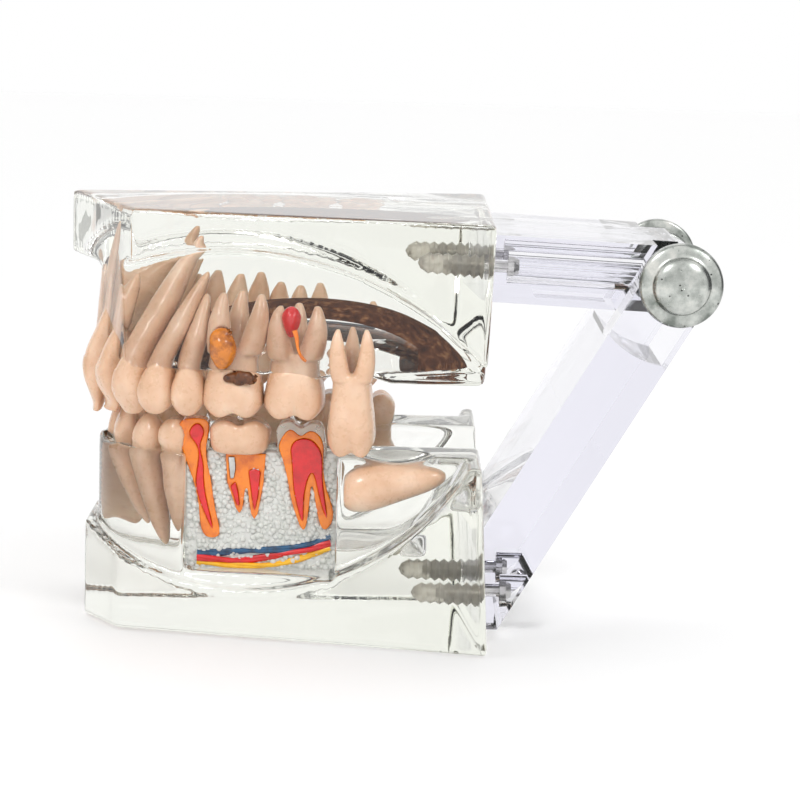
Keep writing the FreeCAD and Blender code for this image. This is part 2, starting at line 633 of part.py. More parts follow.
def build():
    nodes = {}
    upper_left = row_of_teeth(UPPER_TEETH, 1, -1)
    upper_right = row_of_teeth(UPPER_TEETH, 1, 1)
    lower_right = row_of_teeth(LOWER_TEETH, -1, 1)
    lower_left = row_of_teeth(LOWER_TEETH[:4], -1, -1)

    # The left third molar has grown down past the others, outside the lower row.
    upper_left["third_molar"] = tooth(
        -5.2, -23.8, 32.3, 10.6, 11.5, 7.8, 7.6, (-0.2, 0.4), MOLAR_RINGS, 1, 3)

    nodes["upper_abscess"] = abscess().fuse(abscess_tract())
    nodes["upper_cyst"] = cyst()
    nodes["upper_molar_caries"] = caries()
    nodes["upper_molar_caries"] = nodes["upper_molar_caries"].cut(nodes["upper_cyst"])
    lesions = [nodes["upper_abscess"], nodes["upper_cyst"], nodes["upper_molar_caries"]]
    for name in ("second_premolar", "first_molar", "second_molar"):
        upper_left[name] = cut_all(upper_left[name], lesions)
    for name, solid in upper_left.items():
        nodes["upper_left_" + name] = solid
    for name, solid in upper_right.items():
        nodes["upper_right_" + name] = solid

    implant_crown = lower_left.pop("central_incisor")
    collar = implant_fixture()
    implant_crown = implant_crown.common(Part.makeBox(200, 200, 20, V(-100, -100, 31.6)))
    nodes["implant_fixture"] = collar
    nodes["implant_crown"] = implant_crown
    for name, solid in lower_left.items():
        nodes["lower_left_" + name] = solid
    for name, solid in lower_right.items():
        nodes["lower_right_" + name] = solid

    dentine, pulp = premolar_section()
    nodes["lower_left_first_premolar"] = cut_all(nodes["lower_left_first_premolar"], [dentine, pulp])
    nodes["lower_left_second_premolar_dentine"] = dentine
    nodes["lower_left_second_premolar_pulp"] = pulp
    dentine, canals, post = molar_section()
    nodes["lower_left_first_molar_dentine"] = dentine
    nodes["lower_left_first_molar_canals"] = canals
    nodes["lower_left_first_molar_post"] = post
    nodes["lower_left_first_molar_crown"] = crowned_molar().cut(dentine).cut(post)
    enamel, dentine, pulp = second_molar_section()
    nodes["lower_left_second_molar_enamel"] = enamel
    nodes["lower_left_second_molar_dentine"] = dentine
    nodes["lower_left_second_molar_pulp"] = pulp
    nodes["lower_left_third_molar"] = impacted_molar()
    nodes["mandibular_nerve"] = strand(12.2, 0.6, 0.45, WINDOW_Y + 0.6)
    nodes["mandibular_artery"] = strand(13.4, 0.6, 0.5, WINDOW_Y + 0.6)
    nodes["mandibular_vein"] = strand(14.5, 0.6, 0.45, WINDOW_Y + 0.6)

    bone = Part.makeBox(
        WINDOW_X[1] - WINDOW_X[0] - 0.2, BONE_DEPTH, LOWER_GUM_Z - 0.4 - WINDOW_Z[0],
        V(WINDOW_X[0] + 0.1, WINDOW_Y, WINDOW_Z[0] + 0.1))
    inside = [s for n, s in nodes.items() if n.startswith(("lower_left", "mandibular"))]
    bone = cut_all(bone, inside)
    nodes["cancellous_bone"] = bone

    nodes["hinge_rod"] = hinge_rod()
    nodes["left_rod_cap"] = rod_cap(-1)
    nodes["right_rod_cap"] = rod_cap(1)
    for jaw, upper in (("upper", True), ("lower", False)):
        nodes[jaw + "_left_screw"] = screw(-SCREW_Y, upper)
        nodes[jaw + "_right_screw"] = screw(SCREW_Y, upper)
        nodes[jaw + "_screw_anchors"] = Part.makeCompound([anchor(-SCREW_Y, upper), anchor(SCREW_Y, upper)])
    nodes["upper_arm"] = upper_arm()
    nodes["lower_arm"] = lower_arm()
    nodes["palate_lining"] = palate_lining()

    upper_inside = [s for n, s in nodes.items() if n.startswith("upper") and n != "upper_arm"]
    lower_inside = [s for n, s in nodes.items() if n.startswith(("lower", "implant", "mandib", "canc"))
                    and n != "lower_arm"]
    nodes["upper_base"] = cut_all(upper_block(), upper_inside)
    nodes["lower_base"] = cut_all(lower_block(), lower_inside)
    return nodes


def main():
    os.makedirs("parts", exist_ok=True)
    for name, shape in build().items():
        shape.exportStep("parts/" + name + ".step")
        print(name, shape.isValid(), len(shape.Solids), round(shape.Volume, 1))


main()
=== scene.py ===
"""Looks for the clear dental model: resin jaws, acrylic hinge, teeth and painted sections."""

import bmesh
import bpy
import json
import math
import random
from mathutils import Matrix, Vector, noise


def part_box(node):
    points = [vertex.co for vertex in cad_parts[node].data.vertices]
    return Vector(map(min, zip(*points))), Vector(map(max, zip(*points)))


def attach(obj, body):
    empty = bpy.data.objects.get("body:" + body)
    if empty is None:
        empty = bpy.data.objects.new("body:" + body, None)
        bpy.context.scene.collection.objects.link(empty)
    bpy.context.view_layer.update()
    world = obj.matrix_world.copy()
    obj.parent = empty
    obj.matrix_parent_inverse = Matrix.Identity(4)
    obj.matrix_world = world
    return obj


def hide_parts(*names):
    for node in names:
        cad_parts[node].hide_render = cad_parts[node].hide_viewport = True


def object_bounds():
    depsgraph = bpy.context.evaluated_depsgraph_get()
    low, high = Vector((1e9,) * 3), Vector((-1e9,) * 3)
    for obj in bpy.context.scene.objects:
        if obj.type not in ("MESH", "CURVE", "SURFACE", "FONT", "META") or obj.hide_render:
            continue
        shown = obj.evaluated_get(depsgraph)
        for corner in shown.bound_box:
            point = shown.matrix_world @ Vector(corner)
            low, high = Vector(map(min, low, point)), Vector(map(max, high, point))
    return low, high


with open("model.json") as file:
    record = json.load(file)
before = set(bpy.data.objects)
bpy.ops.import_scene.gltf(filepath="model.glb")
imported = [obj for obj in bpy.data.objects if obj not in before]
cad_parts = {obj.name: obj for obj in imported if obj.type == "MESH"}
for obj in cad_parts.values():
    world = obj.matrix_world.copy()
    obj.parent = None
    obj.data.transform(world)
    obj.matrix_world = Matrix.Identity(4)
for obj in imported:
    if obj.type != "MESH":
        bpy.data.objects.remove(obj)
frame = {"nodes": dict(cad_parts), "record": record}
low_corner, high_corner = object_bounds()
MM = 0.001
NODES = frame["nodes"]
JOINT = frame["record"]["behaviour"]["joints"][0]
ROD = Vector(JOINT["pos_m"])
SLOTS = {part["node"]: part["material_slot"] for part in frame["record"]["subparts"]}


def vec(values):
    return Vector(values)


# ---------------------------------------------------------------- materials

def new_material(name):
    material = bpy.data.materials.new(name)
    material.use_nodes = True
    tree = material.node_tree
    shader = tree.nodes["Principled BSDF"]
    return material, tree, shader


def add(tree, kind, **inputs):
    node = tree.nodes.new(kind)
    for key, value in inputs.items():
        node.inputs[key.replace("_", " ")].default_value = value
    return node


def object_position(tree):
    return tree.nodes.new("ShaderNodeTexCoord").outputs["Object"]


def noise_texture(tree, scale, detail=3.0, roughness=0.55):
    node = add(tree, "ShaderNodeTexNoise", Scale=scale, Detail=detail, Roughness=roughness)
    tree.links.new(object_position(tree), node.inputs["Vector"])
    return node


def ramp(tree, source, stops):
    node = tree.nodes.new("ShaderNodeValToRGB")
    elements = node.color_ramp.elements
    while len(elements) < len(stops):
        elements.new(0.5)
    for element, (place, colour) in zip(elements, stops):
        element.position = place
        element.color = (*colour, 1.0)
    tree.links.new(source, node.inputs["Fac"])
    return node.outputs["Color"]


def bump(tree, shader, height, strength, distance):
    node = add(tree, "ShaderNodeBump", Strength=strength, Distance=distance)
    tree.links.new(height, node.inputs["Height"])
    tree.links.new(node.outputs["Normal"], shader.inputs["Normal"])


def clear_material(name, tint, depth_tint, density, wave, roughness):
    """Clear plastic with a body tint and faint casting waves."""
    material, tree, shader = new_material(name)
    shader.inputs["Base Color"].default_value = (*tint, 1)
    shader.inputs["Roughness"].default_value = roughness
    shader.inputs["Transmission Weight"].default_value = 1.0
    shader.inputs["IOR"].default_value = 1.49
    waves = noise_texture(tree, 70.0, 2.0)
    bump(tree, shader, waves.outputs["Fac"], wave, 0.0006)
    volume = add(tree, "ShaderNodeVolumeAbsorption", Density=density)
    volume.inputs["Color"].default_value = (*depth_tint, 1)
    tree.links.new(volume.outputs["Volume"], tree.nodes["Material Output"].inputs["Volume"])
    return material


def tooth_material(name, base, deep, bright, clear=0.0):
    """Peach cast tooth: soft mottling, a faint fine bump and semi-gloss wear."""
    material, tree, shader = new_material(name)
    mottling = noise_texture(tree, 160.0, 4.0)
    colour = ramp(tree, mottling.outputs["Fac"], [(0.30, deep), (0.52, base), (0.75, bright)])
    tree.links.new(colour, shader.inputs["Base Color"])
    shader.inputs["Transmission Weight"].default_value = clear
    shader.inputs["Subsurface Weight"].default_value = 0.25
    shader.inputs["Subsurface Radius"].default_value = (1.0, 0.45, 0.25)
    shader.inputs["Subsurface Scale"].default_value = 0.0015
    shader.inputs["Coat Weight"].default_value = 0.5
    shader.inputs["Coat Roughness"].default_value = 0.08
    fine = noise_texture(tree, 900.0, 3.0)
    rough = ramp(tree, fine.outputs["Fac"], [(0.3, (0.24,) * 3), (0.7, (0.36,) * 3)])
    tree.links.new(rough, shader.inputs["Roughness"])
    bump(tree, shader, fine.outputs["Fac"], 0.10, 0.0003)
    return material


def paint_material(name, base, dark, roughness=0.22, coat=0.7):
    """Hand-brushed glossy paint with streaks and uneven thickness."""
    material, tree, shader = new_material(name)
    streaks = noise_texture(tree, 420.0, 5.0, 0.65)
    colour = ramp(tree, streaks.outputs["Fac"], [(0.32, dark), (0.55, base)])
    tree.links.new(colour, shader.inputs["Base Color"])
    shader.inputs["Roughness"].default_value = roughness
    shader.inputs["Coat Weight"].default_value = coat
    shader.inputs["Coat Roughness"].default_value = 0.05
    bump(tree, shader, streaks.outputs["Fac"], 0.25, 0.0003)
    return material


def brown_material():
    """Rough dark brown paint, lighter and fuzzy where it thins out."""
    material, tree, shader = new_material("brown_paint")
    fibres = noise_texture(tree, 700.0, 6.0, 0.7)
    colour = ramp(
        tree, fibres.outputs["Fac"],
        [(0.35, (0.030, 0.008, 0.003)), (0.52, (0.085, 0.026, 0.009)), (0.70, (0.30, 0.14, 0.06))])
    tree.links.new(colour, shader.inputs["Base Color"])
    shader.inputs["Roughness"].default_value = 0.9
    shader.inputs["Specular IOR Level"].default_value = 0.1
    bump(tree, shader, fibres.outputs["Fac"], 0.6, 0.0005)
    return material


def zinc_material():
    """Bright zinc plate with a grey bloom and fine dark pits."""
    material, tree, shader = new_material("zinc_plate")
    shader.inputs["Metallic"].default_value = 1.0
    bloom = noise_texture(tree, 260.0, 5.0, 0.6)
    colour = ramp(
        tree, bloom.outputs["Fac"],
        [(0.30, (0.20, 0.22, 0.20)), (0.52, (0.52, 0.54, 0.51)), (0.74, (0.82, 0.81, 0.76))])
    pits = add(tree, "ShaderNodeTexVoronoi", Scale=820.0)
    tree.links.new(object_position(tree), pits.inputs["Vector"])
    spots = ramp(tree, pits.outputs["Distance"], [(0.10, (0.03,) * 3), (0.16, (1.0,) * 3)])
    patch = noise_texture(tree, 330.0, 1.0)
    patch_mask = ramp(tree, patch.outputs["Fac"], [(0.52, (1.0,) * 3), (0.60, (0.0,) * 3)])
    lighten = add(tree, "ShaderNodeMix")
    lighten.data_type = "RGBA"
    lighten.blend_type = "LIGHTEN"
    lighten.inputs["Factor"].default_value = 1.0
    tree.links.new(spots, lighten.inputs[6])
    tree.links.new(patch_mask, lighten.inputs[7])
    mix = add(tree, "ShaderNodeMix")
    mix.data_type = "RGBA"
    mix.blend_type = "MULTIPLY"
    mix.inputs["Factor"].default_value = 1.0
    tree.links.new(colour, mix.inputs[6])
    tree.links.new(lighten.outputs[2], mix.inputs[7])
    tree.links.new(mix.outputs[2], shader.inputs["Base Color"])
    rough = ramp(tree, bloom.outputs["Fac"], [(0.3, (0.34,) * 3), (0.7, (0.16,) * 3)])
    tree.links.new(rough, shader.inputs["Roughness"])
    bump(tree, shader, lighten.outputs[2], 0.35, 0.0002)
    return material


def metal_material(name, colour, roughness, scale):
    material, tree, shader = new_material(name)
    shader.inputs["Metallic"].default_value = 1.0
    grain = noise_texture(tree, scale, 4.0)
    dark = tuple(c * 0.6 for c in colour)
    tone = ramp(tree, grain.outputs["Fac"], [(0.3, dark), (0.65, colour)])
    tree.links.new(tone, shader.inputs["Base Color"])
    rough = ramp(tree, grain.outputs["Fac"], [(0.3, (roughness * 1.6,) * 3), (0.7, (roughness,) * 3)])
    tree.links.new(rough, shader.inputs["Roughness"])
    return material


def bead_material():
    """Pearly translucent granules."""
    material, tree, shader = new_material("bone_granules")
    tone = noise_texture(tree, 500.0, 3.0)
    colour = ramp(tree, tone.outputs["Fac"], [(0.3, (0.86, 0.88, 0.83)), (0.7, (0.97, 0.97, 0.94))])
    tree.links.new(colour, shader.inputs["Base Color"])
    shader.inputs["Roughness"].default_value = 0.18
    shader.inputs["Transmission Weight"].default_value = 0.35
    shader.inputs["IOR"].default_value = 1.45
    return material


def anchor_material():
    material, tree, shader = new_material("anchor_plastic")
    tone = noise_texture(tree, 600.0, 4.0)
    colour = ramp(tree, tone.outputs["Fac"], [(0.3, (0.62, 0.58, 0.50)), (0.7, (0.84, 0.81, 0.74))])
    tree.links.new(colour, shader.inputs["Base Color"])
    shader.inputs["Roughness"].default_value = 0.35
    shader.inputs["Transmission Weight"].default_value = 0.75
    return material


RESIN = clear_material("clear_resin", (0.985, 0.985, 0.975), (0.82, 0.84, 0.72), 9.0, 0.05, 0.0)
ACRYLIC = clear_material("clear_acrylic", (0.97, 0.97, 0.985), (0.76, 0.75, 0.86), 15.0, 0.02, 0.0)
TOOTH = tooth_material("peach_tooth", (0.74, 0.49, 0.33), (0.64, 0.39, 0.24), (0.82, 0.60, 0.44))
ENAMEL = tooth_material("clear_enamel", (0.93, 0.86, 0.76), (0.86, 0.76, 0.64), (0.97, 0.93, 0.86), 0.7)
RED = paint_material("red_paint", (0.72, 0.002, 0.006), (0.52, 0.001, 0.002))
ORANGE = paint_material("orange_paint", (0.86, 0.22, 0.001), (0.66, 0.12, 0.0005))
CARAMEL = paint_material("caramel_paint", (0.66, 0.20, 0.008), (0.26, 0.06, 0.003))
YELLOW = paint_material("yellow_paint", (0.95, 0.50, 0.001), (0.82, 0.34, 0.0005))
CARIES = paint_material("caries_paint", (0.16, 0.045, 0.006), (0.03, 0.008, 0.002), 0.5, 0.3)
BLUE = paint_material("blue_paint", (0.0, 0.075, 0.19), (0.0, 0.012, 0.04))
BROWN = brown_material()
ZINC = zinc_material()
STEEL = metal_material("bright_steel", (0.66, 0.65, 0.63), 0.16, 500.0)
IMPLANT = metal_material("implant_metal", (0.50, 0.45, 0.41), 0.28, 700.0)
BEADS = bead_material()
ANCHOR = anchor_material()


# ---------------------------------------------------------------- mesh helpers

def link(name, mesh, body, material):
    piece = bpy.data.objects.new(name, mesh)
    bpy.context.collection.objects.link(piece)
    mesh.materials.clear()
    mesh.materials.append(material)
    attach(piece, body)
    return piece


def baked(piece):
    """Applies a piece's modifiers to its mesh."""
    bpy.context.view_layer.update()
    depsgraph = bpy.context.evaluated_depsgraph_get()
    mesh = bpy.data.meshes.new_from_object(piece.evaluated_get(depsgraph))
    old = piece.data
    piece.modifiers.clear()
    piece.data = mesh
    bpy.data.meshes.remove(old)
    for polygon in mesh.polygons:
        polygon.use_smooth = True


def remeshed(piece, voxel, smoothing):
    """Rebuilds the piece from even voxels, then smooths it that many times."""
    remesh = piece.modifiers.new("remesh", "REMESH")
    remesh.mode = "VOXEL"
    remesh.voxel_size = voxel
    remesh.use_smooth_shade = True
    smooth = piece.modifiers.new("smooth", "SMOOTH")
    smooth.factor = 0.5
    smooth.iterations = smoothing
    baked(piece)


def body_of_node(name):
    for body, names in frame["record"]["behaviour"]["bodies"].items():
        if name in names:
            return body
    return "lower_jaw"


def soft_copy(node, material, voxel, smoothing, forward=0.0):
    """A smooth, detailed stand-in made from a node's own shape, pushed out by forward."""
    mesh = NODES[node].data.copy()
    shape = bmesh.new()
    shape.from_mesh(mesh)
    bmesh.ops.remove_doubles(shape, verts=shape.verts, dist=2e-6)
    bmesh.ops.recalc_face_normals(shape, faces=shape.faces)
    bmesh.ops.translate(shape, verts=shape.verts, vec=(0, -forward, 0))
    shape.to_mesh(mesh)
    shape.free()
    piece = link(node + "_look", mesh, body_of_node(node), material)
    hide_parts(node)
    remeshed(piece, voxel, smoothing)
    return piece


def prism_mesh(outline, axis, low, high):
    """A closed prism. axis is 'y' or 'z'; the outline lies across it."""
    shape = bmesh.new()
    rings = []
    for level in (low, high):
        if axis == "z":
            rings.append([shape.verts.new((a, b, level)) for a, b in outline])
        else:
            rings.append([shape.verts.new((a, level, b)) for a, b in outline])
    count = len(outline)
    for i in range(count):
        j = (i + 1) % count
        shape.faces.new((rings[0][i], rings[0][j], rings[1][j], rings[1][i]))
    shape.faces.new(rings[0][::-1])
    shape.faces.new(rings[1])
    bmesh.ops.recalc_face_normals(shape, faces=shape.faces)
    mesh = bpy.data.meshes.new("prism")
    shape.to_mesh(mesh)
    shape.free()
    return mesh


def tool(mesh):
    piece = bpy.data.objects.new("tool", mesh)
    bpy.context.collection.objects.link(piece)
    return piece


def combine(target, mesh_or_tool, operation):
    other = mesh_or_tool if isinstance(mesh_or_tool, bpy.types.Object) else tool(mesh_or_tool)
    step = target.modifiers.new("step", "BOOLEAN")
    step.operation = operation
    step.object = other
    step.solver = "EXACT"
    baked(target)
    bpy.data.objects.remove(other)


# ---------------------------------------------------------------- jaw blocks

ARCH_POWER = 2.8
BLOCK_VOXEL = 0.45 * MM
BLOCK_SMOOTHING = 22
CUT_HALF = 60 * MM
CUT_TOP = 50 * MM
GROUND_Z = low_corner[2]
TOP_Z = high_corner[2]
UPPER_LOW = vec(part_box("upper_base")[0])
LOWER_LOW, LOWER_HIGH = (vec(c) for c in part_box("lower_base"))
SIDE_TAPER = math.tan(math.radians(12.4))
BACK_X = 18.4 * MM
BACK_HALF = 34.5 * MM
SCOOP_X = -25.0 * MM
UPPER_TIP_X = -58.15 * MM
UPPER_CORNER_X = -43.6 * MM
UPPER_BACK_LEAN = math.radians(2.0)
UPPER_SCOOP_RADIUS, UPPER_SCOOP_Z = 58 * MM, 9.3 * MM
UPPER_ARCH = (52.6 * MM, 25.8 * MM)
UPPER_ARCH_FLARE = -0.065
PLATE_UNDERSIDE_Z = 61.8 * MM
PLATE_X = (-80 * MM, -49 * MM)
VAULT_CENTRE = Vector((-12 * MM, 0, 44 * MM))
VAULT_HALF_LENGTH, VAULT_RADIUS = 27 * MM, 13 * MM
LOWER_CORNER_X = -45.6 * MM
LOWER_FLAT_HALF = 10 * MM
LOWER_FOOT_OUT = 0.6 * MM
LOWER_BACK_LEAN = math.radians(3.2)
LOWER_SCOOP_RADIUS, LOWER_SCOOP_Z = 46 * MM, 54.5 * MM
LOWER_ARCH = (50.6 * MM, 24.6 * MM)
ARCH_BACK_X = 40 * MM
TONGUE_ARCH = (36.5 * MM, 11.5 * MM)
TONGUE_BACK_X = 10 * MM
TONGUE_FLOOR_Z = 13.5 * MM
SADDLE_X = 9 * MM
SADDLE_Z = 22 * MM
GUM_REACH = 3 * MM
GUM_LIFT = 1.4 * MM
TOOTH_SPOT_RADIUS = 4.5 * MM
WINDOW_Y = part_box("cancellous_bone")[0][1]


def rectangle(x_low, x_high, y_low, y_high):
    return [(x_low, y_low), (x_high, y_low), (x_high, y_high), (x_low, y_high)]


def side_y(x):
    """Half width of the tapered block at x."""
    return BACK_HALF - (BACK_X - x) * SIDE_TAPER


def arch_outline(half_x, half_y, back_x, steps=72):
    """A dental arch: half a superellipse facing forwards, carried straight back to back_x."""
    points = []
    for i in range(steps + 1):
        angle = math.radians(-90 + 180.0 * i / steps)
        cos_part = max(math.cos(angle), 0.0)
        sin_part = abs(math.sin(angle))
        x = -half_x * cos_part ** (2 / ARCH_POWER)
        y = half_y * math.copysign(sin_part ** (2 / ARCH_POWER), angle)
        points.append((x, y))
    return points + [(back_x, half_y), (back_x, -half_y)]


def flared(mesh, z_from, z_to, amount):
    """Pulls a prism's high end in by the given share, as on a flared arch."""
    for vertex in mesh.vertices:
        share = (vertex.co.z - z_from) / (z_to - z_from)
        scale = 1 + amount * share
        vertex.co.x *= scale if vertex.co.x < 0 else 1
        vertex.co.y *= scale
    return mesh


def cylinder_mesh(radius, centre_x, centre_z, half_width, steps=180):
    outline = []
    for i in range(steps):
        angle = 2 * math.pi * i / steps
        outline.append((centre_x + radius * math.cos(angle), centre_z + radius * math.sin(angle)))
    return prism_mesh(outline, "y", -half_width, half_width)


def egg_mesh(centre, half_length, radius):
    shape = bmesh.new()
    bmesh.ops.create_uvsphere(shape, u_segments=96, v_segments=48, radius=1.0)
    for vertex in shape.verts:
        vertex.co = Vector((vertex.co.x * half_length, vertex.co.y * radius, vertex.co.z * radius))
        vertex.co += centre
    mesh = bpy.data.meshes.new("egg")
    shape.to_mesh(mesh)
    shape.free()
    return mesh


def gum_scallops(piece, gum_z, side, teeth):
    """Raises the gum's rim round each tooth's neck and lowers it to papillae between them."""
    for vertex in piece.data.vertices:
        near = abs(vertex.co.z - gum_z)
        if near > GUM_REACH:
            continue
        strength = 1 - near / GUM_REACH
        lift = 0.0
        for x, y, radius in teeth:
            distance = math.hypot(vertex.co.x - x, vertex.co.y - y)
            if distance < radius * 1.5:
                lift = max(lift, math.cos(min(distance / (radius * 1.5), 1.0) * math.pi / 2))
        vertex.co.z += side * GUM_LIFT * strength * (lift - 0.35)


def tooth_spots(prefix):
    spots = []
    for name in NODES:
        if name.startswith(prefix) and not name.endswith(("anchors", "screw", "base", "arm")):
            low, high = (vec(c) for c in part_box(name))
            spots.append(((low.x + high.x) / 2, (low.y + high.y) / 2, TOOTH_SPOT_RADIUS))
    return spots


def upper_jaw_block():
    """The upper base: a tapered slab, its arch ridge left by the scoop, and the palate's vault."""
    gum_z = UPPER_LOW.z
    back_low = BACK_X - (TOP_Z - gum_z) * math.tan(UPPER_BACK_LEAN)
    outline = [(BACK_X, -side_y(BACK_X)), (BACK_X, side_y(BACK_X)),
               (UPPER_TIP_X, side_y(UPPER_TIP_X)), (UPPER_CORNER_X, -side_y(UPPER_CORNER_X))]
    block = tool(prism_mesh(outline, "z", gum_z, TOP_Z))
    for vertex in block.data.vertices:
        if vertex.co.x > 0 and vertex.co.z < gum_z + 1e-6:
            vertex.co.x = back_low
    scoop = tool(cylinder_mesh(UPPER_SCOOP_RADIUS, SCOOP_X, UPPER_SCOOP_Z, CUT_HALF))
    underside = prism_mesh(rectangle(*PLATE_X, -CUT_HALF, CUT_HALF), "z", 0, PLATE_UNDERSIDE_Z)
    combine(scoop, underside, "UNION")
    core = prism_mesh(arch_outline(*UPPER_ARCH, ARCH_BACK_X), "z", gum_z - MM, TOP_Z)
    core = flared(core, gum_z - MM, TOP_Z, UPPER_ARCH_FLARE)
    combine(scoop, core, "DIFFERENCE")
    combine(block, scoop, "DIFFERENCE")
    combine(block, egg_mesh(VAULT_CENTRE, VAULT_HALF_LENGTH, VAULT_RADIUS), "DIFFERENCE")
    finish_block(block, "upper_resin", "upper_jaw", "upper_base", gum_z, 1, tooth_spots("upper_"))


def lower_jaw_block():
    """The lower base: arch ridge, tongue space, saddle and the window for the bone."""
    corner_x = LOWER_CORNER_X
    flat_x = LOWER_LOW.x
    gum_z = LOWER_HIGH.z
    foot_x = BACK_X + LOWER_FOOT_OUT
    top_x = foot_x - gum_z * math.tan(LOWER_BACK_LEAN)
    outline = [(foot_x, -side_y(foot_x)), (foot_x, side_y(foot_x)), (corner_x, side_y(corner_x)),
               (flat_x, LOWER_FLAT_HALF), (flat_x, -LOWER_FLAT_HALF), (corner_x, -side_y(corner_x))]
    block = tool(prism_mesh(outline, "z", GROUND_Z, gum_z))
    for vertex in block.data.vertices:
        if vertex.co.x > 0 and vertex.co.z > gum_z - 1e-6:
            vertex.co.x = top_x
    scoop = tool(cylinder_mesh(LOWER_SCOOP_RADIUS, SCOOP_X, LOWER_SCOOP_Z, CUT_HALF))
    core = prism_mesh(arch_outline(*LOWER_ARCH, ARCH_BACK_X), "z", -MM, gum_z + MM)
    combine(scoop, core, "DIFFERENCE")
    combine(block, scoop, "DIFFERENCE")
    tongue = prism_mesh(arch_outline(*TONGUE_ARCH, TONGUE_BACK_X), "z", TONGUE_FLOOR_Z, CUT_TOP)
    combine(block, tongue, "DIFFERENCE")
    saddle_half = TONGUE_ARCH[1]
    saddle = prism_mesh(rectangle(SADDLE_X, ARCH_BACK_X, -saddle_half, saddle_half), "z", SADDLE_Z, CUT_TOP)
    combine(block, saddle, "DIFFERENCE")
    bone_low, bone_high = (vec(c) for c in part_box("cancellous_bone"))
    window = prism_mesh(rectangle(bone_low.x, bone_high.x, WINDOW_Y - 20 * MM, WINDOW_Y),
                        "z", bone_low.z, CUT_TOP)
    combine(block, window, "DIFFERENCE")
    recess = prism_mesh(rectangle(bone_low.x, bone_high.x, WINDOW_Y - MM, bone_high.y),
                        "z", bone_low.z, CUT_TOP)
    combine(block, recess, "DIFFERENCE")
    finish_block(block, "lower_resin", "lower_jaw", "lower_base", gum_z, -1, tooth_spots("lower_"))


def finish_block(block, name, body, node, gum_z, side, teeth):
    """Softens the cast edges, shapes the gum line and hands the block to its body. It casts no
    shadow, so that the light reaches what it holds."""
    remeshed(block, BLOCK_VOXEL, BLOCK_SMOOTHING)
    gum_scallops(block, gum_z, side, teeth)
    block.name = name
    block.data.materials.clear()
    block.data.materials.append(RESIN)
    block.visible_shadow = False
    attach(block, body)
    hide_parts(node)


# ---------------------------------------------------------------- teeth

def is_tooth(name):
    return SLOTS[name] == "tooth"


TOOTH_VOXEL = 0.3 * MM
CUSP_DEPTH = {"molar": 1.1 * MM, "premolar": 0.8 * MM, "front": 0.0}
CUSP_REACH = 3.5 * MM
CROWN_RIM = 4 * MM
NECK_CURVE = 0.8 * MM
NECK_STEP = 0.4 * MM
GROOVE_REACH = 5.5 * MM
GROOVE_DEPTH = 0.42 * MM
ENAMEL_THICKNESS = 0.14 * MM
RIPPLE_HEIGHT = 0.08 * MM


def cusp_height(x, y, low, high, molar):
    """Height of the chewing surface at a point of the crown, from its rim to its pits."""
    u = (x - low.x) / (high.x - low.x)
    v = (y - low.y) / (high.y - low.y)
    along = math.cos(2 * math.pi * u * (2 if molar else 1))
    across = math.cos(2 * math.pi * v)
    return 0.5 * (1 - along) * 0.55 + 0.45 * (1 + across) * 0.5


def carve_crown(piece, side, kind, crown):
    """Cusps, grooves and the neck's step; side is +1 when the roots point up."""
    zs = [v.co.z for v in piece.data.vertices]
    tip = min(zs) if side > 0 else max(zs)
    rim = [v.co for v in piece.data.vertices if abs(v.co.z - tip) < CROWN_RIM]
    low = Vector((min(c.x for c in rim), min(c.y for c in rim), 0))
    high = Vector((max(c.x for c in rim), max(c.y for c in rim), 0))
    depth = CUSP_DEPTH[kind]
    for vertex in piece.data.vertices:
        reach = abs(vertex.co.z - tip)
        u = (vertex.co.x - low.x) / (high.x - low.x) - 0.5
        if depth and reach < CUSP_REACH:
            fade = (1 - reach / CUSP_REACH) ** 1.2
            bite = 1 - cusp_height(vertex.co.x, vertex.co.y, low, high, kind == "molar")
            vertex.co.z += side * depth * fade * bite
        neck = crown + NECK_CURVE * math.cos(u * math.pi * 2) * (0.5 if kind == "molar" else 1.0)
        enamel = min(max((neck - reach) / NECK_STEP, 0.0), 1.0)
        groove = 0.0
        if kind == "molar":
            groove = math.exp(-(u / 0.07) ** 2) * max(0.0, 1 - reach / GROOVE_REACH)
        ripple = noise.noise(vertex.co * 420.0) * RIPPLE_HEIGHT
        vertex.co += vertex.normal * (ENAMEL_THICKNESS * enamel - GROOVE_DEPTH * groove * enamel + ripple)
    piece.data.update()


ROOT_LEAN = {"lower_left_lateral_incisor": 3.4 * MM, "lower_left_canine": 1.6 * MM}


def lean_root(piece, gum, reach):
    """Tilts a lower root backwards, by reach at its tip."""
    tip = min(v.co.z for v in piece.data.vertices)
    for vertex in piece.data.vertices:
        depth = max(0.0, gum - vertex.co.z) / (gum - tip)
        vertex.co.x += reach * depth


def tooth_kind(name):
    for kind in ("premolar", "molar"):
        if kind in name:
            return kind
    return "front"


def whole_teeth():
    for name in sorted(NODES):
        if not is_tooth(name):
            continue
        piece = soft_copy(name, TOOTH, TOOTH_VOXEL, 6)
        side = 1 if name.startswith("upper") else -1
        kind = tooth_kind(name)
        if name != "lower_left_third_molar":
            gum = UPPER_LOW.z if side > 0 else LOWER_HIGH.z
            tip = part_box(name)[0][2] if side > 0 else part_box(name)[1][2]
            carve_crown(piece, side, kind, abs(gum - tip) + 0.5 * MM)
            if name in ROOT_LEAN:
                lean_root(piece, gum, ROOT_LEAN[name])


# ---------------------------------------------------------------- sections, lesions

PAINT_VOXEL = 0.16 * MM
PULP_VOXEL = 0.12 * MM
LESION_VOXEL = 0.2 * MM
BONE_VOXEL = 0.35 * MM


